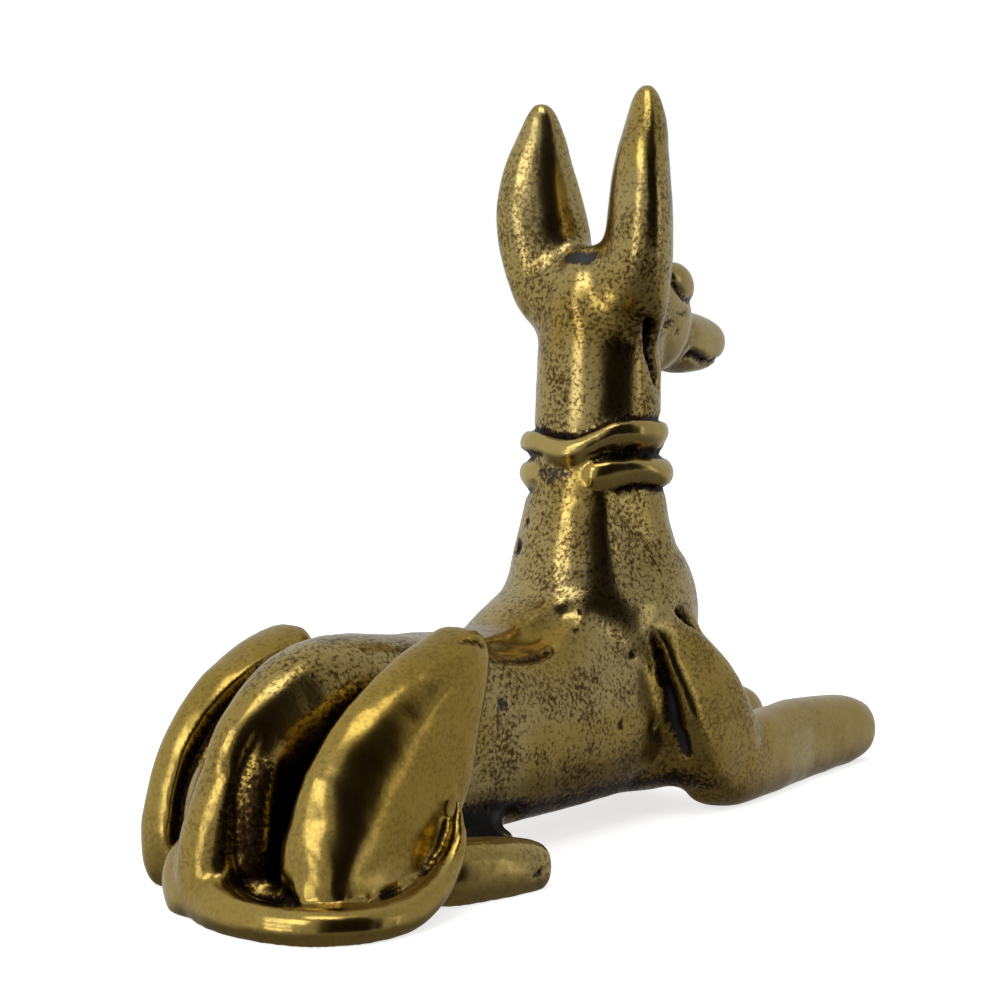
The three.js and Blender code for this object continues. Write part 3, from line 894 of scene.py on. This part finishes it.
def mark_surface(clay, dark, sizes):
    """Writes what the material reads: patina in the hollows with painted shade below, polish on ridges,
    mottle, warmth and lead.
    """
    fine = clay.hollowness(FINE_ROUNDS)
    broad = clay.hollowness(BROAD_ROUNDS)
    down, up = -clay.normal[:, 2], clay.co[:, 2]
    # Painted shade: the belly and what faces down are darkened, and this is added to the patina.
    belly_shade = made_by(up, *BELLY_SHADE_BELOW_FLANKS) * made_by(up, *BELLY_SHADE_ABOVE_FEET)
    belly_shade = belly_shade * made_by(down, *BELLY_SHADE_BY_FACING)
    shade_below = BELLY_SHADE_SHARE * belly_shade + DOWNWARD_SHADE_SHARE * made_by(down, *DOWNWARD_SHADE_BY_FACING)
    patina_and_shade = made_by(openness(clay), *PATINA_BY_SKY)
    patina_and_shade = patina_and_shade + made_by(fine, *PATINA_BY_FINE_HOLLOWS) + made_by(broad, *PATINA_BY_BROAD_HOLLOWS)
    patina_and_shade = np.clip(clay.spread(np.maximum(patina_and_shade + shade_below, dark), 2), 0, 1)
    mottle = mottle_of(clay, sizes)
    polish = clay.spread(made_by(broad, *POLISH_BY_RIDGES), 3)
    polish = np.maximum(polish, made_by(mottle, *POLISH_BY_FEW_FLECKS)) - patina_and_shade
    golden = clay.spread(clay.painted(GOLDEN, 0.0), GOLDEN_ROUNDS)
    values = {
        "patina_and_shade": patina_and_shade,
        "polish": np.clip(polish, 0, 1),
        "mottle": mottle,
        "warmth": np.maximum(golden, clay.dome(GOLDEN_FOLD, FOLD_GOLD)),
        "lead": np.max([clay.dome(*spot) for spot in LEADEN], axis=0),
    }
    for name, value in values.items():
        attribute = clay.mesh.attributes.new(name, "FLOAT", "POINT")
        attribute.data.foreach_set("value", np.ascontiguousarray(value, np.float32))


# Materials

# Settings that several nodes share. A MapRange has its input, the two values between which it rises, and what
# it gives at each of them, which is 0 and 1 where that isn't said.
ADD = {"operation": "ADD"}
SUBTRACT = {"operation": "SUBTRACT"}
MULTIPLY = {"operation": "MULTIPLY"}
MULTIPLY_ADD = {"operation": "MULTIPLY_ADD"}
MAXIMUM = {"operation": "MAXIMUM"}
SMOOTH = {"interpolation_type": "SMOOTHSTEP"}
COLOURS = {"data_type": "RGBA"}

# Widths of the blots in the metal in millimetres: the flecks, the patches where they are denser and the broad
# clouds of warmer metal. With each are the detail and the roughness of its noise.
FLECKS = (0.21, 4.0, 0.6)
PATCHES = (2.2, 2.0, 0.5)
CLOUDS = (7.7, 1.0, 0.5)
# How wide a noise's blots are, as a share of its cell.
BLOT = 0.924
# How high the unevenness of the cast skin is, in millimetres.
BUMP_HEIGHT = 0.05


def add_node(tree, kind, settings=None, *values, output=None, **named):
    """Adds one node with its settings, and returns its named output, or else the first one in use.

    A value, or another node's output, goes to the socket it is named for, or else to the next one in use.
    """
    node = tree.nodes.new("ShaderNode" + kind)
    for key, value in (settings or {}).items():
        setattr(node, key, value)
    inputs = list(zip([socket for socket in node.inputs if socket.enabled], values))
    inputs += [(node.inputs[name.replace("_", " ")], value) for name, value in named.items()]
    for socket, value in inputs:
        if isinstance(value, bpy.types.NodeSocket):
            tree.links.new(value, socket)
        else:
            socket.default_value = value
    if output:
        return node.outputs[output]
    return next((socket for socket in node.outputs if socket.enabled), None)


def empty_tree(owner):
    """The node tree of a new material or world, without its nodes."""
    owner.use_nodes = True
    owner.node_tree.nodes.clear()
    return owner.node_tree


def brass_material(brass):
    """Cast brass, its skin stained dark with acid and then rubbed by hand.

    It gives the eye dark flecks in a dull khaki skin, hollows that stay brown to black, painted shade in
    brown to black below and in some creases and recesses, a painted dark reflection beside the tail, and a
    soft golden mirror where it was rubbed most.
    """
    material = bpy.data.materials.new("antiqued_cast_brass")
    tree = empty_tree(material)
    place = add_node(tree, "TexCoord", output="Object")
    patina_and_shade, polish, mottle, warmth, lead = (
        add_node(tree, "Attribute", {"attribute_name": name}, output="Fac")
        for name in ("patina_and_shade", "polish", "mottle", "warmth", "lead")
    )
    grain, patches, clouds = (
        add_node(tree, "TexNoise", None, place, Scale=BLOT / (width * MM), Detail=detail, Roughness=rough)
        for width, detail, rough in (FLECKS, PATCHES, CLOUDS)
    )
    # The flecks that the acid left are a fine network, denser in patches.
    denser = add_node(tree, "MapRange", SMOOTH, patches, 0.3, 0.7, -0.06, 0.06)
    lifted = add_node(tree, "Math", ADD, grain, denser)
    flecks = add_node(tree, "MapRange", SMOOTH, lifted, 0.43, 0.67, 0.0, brass.mottling)
    flecks = add_node(tree, "Math", MULTIPLY, flecks, mottle)
    # The rubbed metal goes from khaki to gold, warmer in broad clouds, and is lighter on the ridges.
    warmer = add_node(tree, "MapRange", SMOOTH, clouds, 0.42, 0.68, 0.0, 0.8)
    warm = add_node(tree, "Math", MAXIMUM, warmth, warmer)
    metal = add_node(tree, "Mix", COLOURS, warm, brass.khaki, brass.gold)
    metal = add_node(tree, "Mix", COLOURS, polish, metal, brass.ridge)
    metal = add_node(tree, "Mix", COLOURS, flecks, metal, brass.fleck)
    # The patina's edge, and that of the painted shade and reflection mixed into it, is ragged. It is brown
    # there, and nearly black in the hollows and where the painted shade is deepest.
    ragged = add_node(tree, "MapRange", SMOOTH, patina_and_shade, 0.03, 0.3, 0.0, 1.2)
    uneven = add_node(tree, "Math", SUBTRACT, grain, 0.5)
    patina_and_shade = add_node(tree, "Math", MULTIPLY_ADD, ragged, uneven, patina_and_shade)
    thin = add_node(tree, "MapRange", SMOOTH, patina_and_shade, 0.12, 0.5)
    metal = add_node(tree, "Mix", COLOURS, thin, metal, brass.brown)
    thick = add_node(tree, "MapRange", SMOOTH, patina_and_shade, 0.4, 0.85)
    metal = add_node(tree, "Mix", COLOURS, thick, metal, brass.black)
    # It is grey where lead in the metal came to the surface.
    covered = add_node(tree, "MapRange", SMOOTH, patina_and_shade, 0.2, 0.7, 0.0, 0.75)
    grey = add_node(tree, "Math", MULTIPLY, lead, covered)
    metal = add_node(tree, "Mix", COLOURS, grey, metal, brass.lead)
    # Flecks, patina and lead are each duller than the rubbed metal, and the flecks lie a little deeper.
    rough = add_node(tree, "MapRange", SMOOTH, flecks, 0.0, 1.0, brass.roughness, brass.roughness + 0.04)
    dull = add_node(tree, "MapRange", SMOOTH, patina_and_shade, 0.03, 0.7, 0.0, 0.28)
    rough = add_node(tree, "Math", ADD, rough, dull)
    rough = add_node(tree, "Math", MULTIPLY_ADD, grey, 0.15, rough)
    height = add_node(tree, "Math", MULTIPLY_ADD, flecks, -0.25, patches)
    bumped = add_node(tree, "Bump", Height=height, Strength=0.25, Distance=BUMP_HEIGHT * MM)
    shader = add_node(
        tree, "BsdfPrincipled", Base_Color=metal, Metallic=1.0, Roughness=rough, Normal=bumped
    )
    add_node(tree, "OutputMaterial", Surface=shader)
    return material


class JACKAL_OT_figure(bpy.types.Operator):
    """Make the cast figure: its forms fused, worked with strokes and given its patina and painted shade"""

    bl_idname = "jackal.figure"
    bl_label = "Make the jackal"

    def execute(self, context):
        sizes = context.scene.jackal_sizes
        piece = rough_cast(sizes)
        if not piece.data.polygons:
            raise RuntimeError("The forms didn't fuse into a surface")
        clay = Clay(piece.data)
        dark = work_surface(clay)
        mark_surface(clay, dark, sizes)
        piece.data.transform(Matrix.Scale(MM, 4) @ Matrix.Translation(SHIFT))
        piece.data.polygons.foreach_set("use_smooth", [True] * len(piece.data.polygons))
        piece.data.materials.append(brass_material(context.scene.jackal_brass))
        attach(piece, "root")
        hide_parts("jackal_figure")
        return {"FINISHED"}


# Stage

WHITE = "#ffffff"
FLOOR_SIDES = 96
FLOOR_GLOW = 0.72
# The camera's place on the drawn axes, the way it looks, and from where to where it sees in metres.
CAMERA_PLACE = Vector((-86.868, -62.658, 22.945))
CAMERA_YAW = math.radians(39.018)
CAMERA_PITCH = math.radians(2.511)
SENSOR = 36
NEAREST = 0.005
FARTHEST = 50

# Lights: a name, where it stands in degrees of azimuth and elevation, its width and height in metres and how
# bright it is.
LIGHTS = [
    ("window_low", 174, -6, 0.18, 0.12, 2.4),
    ("window_middle", 174, 12, 0.18, 0.17, 1.9),
    ("window_high", 180, 38, 0.3, 0.26, 2.5),
    ("overhead", 215, 74, 0.3, 0.2, 2.5),
    ("side", 294, 5, 0.09, 0.4, 0.6),
]

# The room that the brass mirrors, brighter on the figure's left and in front of it. A wall has an azimuth,
# the degrees to the side of it at which it begins and is full, and a colour.
ROOM = "#b3b3b3"
WALLS = [(95, 115, 25, "#d7d7d4"), (10, 60, 15, "#c2c2c2")]
# Its table begins and is full at two depths, as shares of straight down, and has a colour.
TABLE = (0.15, 0.6, "#6f6c69")
# The dark side behind the camera is a wall too. Its foot and its top each begin and are full at an elevation.
DARK_SIDE = (250, 36, 26, "#1d1612")
DARK_EDGES = [(-26, -14), (70, 57)]


def card_material(colour):
    """Matt white card, without gloss, and lit so evenly that it runs into the white behind it."""
    material = bpy.data.materials.new("matt_white_card")
    tree = empty_tree(material)
    glow = {"Emission_Color": linear(WHITE), "Emission_Strength": FLOOR_GLOW}
    shader = add_node(tree, "BsdfPrincipled", Base_Color=colour, Roughness=0.9, **glow)
    add_node(tree, "OutputMaterial", Surface=shader)
    return material


def make_camera(lens):
    """The camera at the photograph's viewing angle."""
    data = bpy.data.cameras.new("camera")
    data.sensor_fit = "HORIZONTAL"
    data.sensor_width = SENSOR
    data.lens = lens
    data.clip_start = NEAREST
    data.clip_end = FARTHEST
    camera = bpy.data.objects.new("camera", data)
    camera.location = (CAMERA_PLACE + SHIFT) * MM
    camera.rotation_euler = (math.pi / 2 - CAMERA_PITCH, 0, CAMERA_YAW - math.pi / 2)
    bpy.context.scene.collection.objects.link(camera)
    bpy.context.scene.camera = camera


def make_lights(distance):
    """The soft lights, all at one distance and turned to the figure."""
    for name, azimuth, elevation, width, height, brightness in LIGHTS:
        data = bpy.data.lights.new(name, "AREA")
        data.shape = "RECTANGLE"
        data.size, data.size_y = width, height
        data.energy = brightness * math.pi * width * height
        light = bpy.data.objects.new(name, data)
        round_figure = Matrix.Rotation(math.radians(azimuth), 4, "Z")
        upwards = Matrix.Rotation(-math.radians(elevation), 4, "Y")
        light.location = round_figure @ upwards @ Vector((distance, 0, 0))
        light.rotation_euler = light.location.to_track_quat("Z", "Y").to_euler()
        light.visible_camera = False
        bpy.context.scene.collection.objects.link(light)


def make_world():
    """The room that the brass mirrors, and plain white where the camera sees past the floor."""
    world = bpy.data.worlds.new("studio")
    bpy.context.scene.world = world
    tree = empty_tree(world)
    to = add_node(tree, "TexCoord", output="Generated")
    up = add_node(tree, "SeparateXYZ", None, to, output="Z")
    level = add_node(tree, "VectorMath", MULTIPLY, to, (1, 1, 0))
    level = add_node(tree, "VectorMath", {"operation": "NORMALIZE"}, level)

    def towards(azimuth, begins, full):
        """Nought where a wall begins, in degrees to the side of its azimuth, and one where it is full."""
        azimuth, begins, full = (math.radians(degrees) for degrees in (azimuth, begins, full))
        facing = (math.cos(azimuth), math.sin(azimuth), 0)
        ahead = add_node(tree, "VectorMath", {"operation": "DOT_PRODUCT"}, level, facing)
        return add_node(tree, "MapRange", SMOOTH, ahead, math.cos(begins), math.cos(full))

    colour = linear(ROOM)
    for *wall, code in WALLS:
        colour = add_node(tree, "Mix", COLOURS, towards(*wall), colour, linear(code))
    begins, full, code = TABLE
    table = add_node(tree, "MapRange", SMOOTH, up, -begins, -full)
    colour = add_node(tree, "Mix", COLOURS, table, colour, linear(code))
    *wall, code = DARK_SIDE
    dark = towards(*wall)
    for edge in DARK_EDGES:
        begins, full = (math.sin(math.radians(degrees)) for degrees in edge)
        inside = add_node(tree, "MapRange", SMOOTH, up, begins, full)
        dark = add_node(tree, "Math", MULTIPLY, dark, inside)
    colour = add_node(tree, "Mix", COLOURS, dark, colour, linear(code))
    room = add_node(tree, "Background", None, colour)
    plain = add_node(tree, "Background", None, linear(WHITE))
    seen = add_node(tree, "LightPath", output="Is Camera Ray")
    mixed = add_node(tree, "MixShader", None, seen, room, plain)
    add_node(tree, "OutputWorld", Surface=mixed)


class JACKAL_OT_stage(bpy.types.Operator):
    """Make the plain pale floor, the soft lights and the camera at the photograph's viewing angle"""

    bl_idname = "jackal.stage"
    bl_label = "Make the stage"

    def execute(self, context):
        stage = context.scene.jackal_stage
        bm = bmesh.new()
        bmesh.ops.create_circle(bm, cap_ends=True, segments=FLOOR_SIDES, radius=stage.floor_radius)
        mesh = bpy.data.meshes.new("floor")
        bm.to_mesh(mesh)
        bm.free()
        floor = bpy.data.objects.new("floor", mesh)
        context.scene.collection.objects.link(floor)
        mesh.materials.append(card_material(stage.floor_colour))
        floor.visible_glossy = False
        floor.visible_shadow = False
        make_world()
        make_lights(stage.light_distance)
        make_camera(stage.lens)
        context.scene.view_settings.view_transform = "Standard"
        return {"FINISHED"}


class JACKAL_PT_panel(bpy.types.Panel):
    """The figure's and the stage's settings, and the operators that make them"""

    bl_label = "Reclining jackal"
    bl_space_type = "VIEW_3D"
    bl_region_type = "UI"
    bl_category = "Jackal"

    def draw(self, context):
        scene = context.scene
        colours = ("khaki", "gold", "ridge", "fleck", "brown", "black", "lead")
        groups = (
            (scene.jackal_sizes, ("square", "collar_radius", "lower_cord", "upper_cord")),
            (scene.jackal_brass, (*colours, "roughness", "mottling")),
            (scene.jackal_stage, ("floor_radius", "floor_colour", "light_distance", "lens")),
        )
        for group, names in groups:
            box = self.layout.box()
            for name in names:
                box.prop(group, name)
        for operator in OPERATORS:
            self.layout.operator(operator.bl_idname)


OPERATORS = (JACKAL_OT_stage, JACKAL_OT_figure)
CLASSES = (JackalSizes, JackalBrass, JackalStage, *OPERATORS, JACKAL_PT_panel)


def register():
    for made in CLASSES:
        bpy.utils.register_class(made)
    bpy.types.Scene.jackal_sizes = PointerProperty(type=JackalSizes)
    bpy.types.Scene.jackal_brass = PointerProperty(type=JackalBrass)
    bpy.types.Scene.jackal_stage = PointerProperty(type=JackalStage)


def unregister():
    del bpy.types.Scene.jackal_stage
    del bpy.types.Scene.jackal_brass
    del bpy.types.Scene.jackal_sizes
    for made in reversed(CLASSES):
        bpy.utils.unregister_class(made)


def main():
    register()
    bpy.ops.jackal.stage()
    bpy.ops.jackal.figure()


if __name__ == "__main__":
    main()
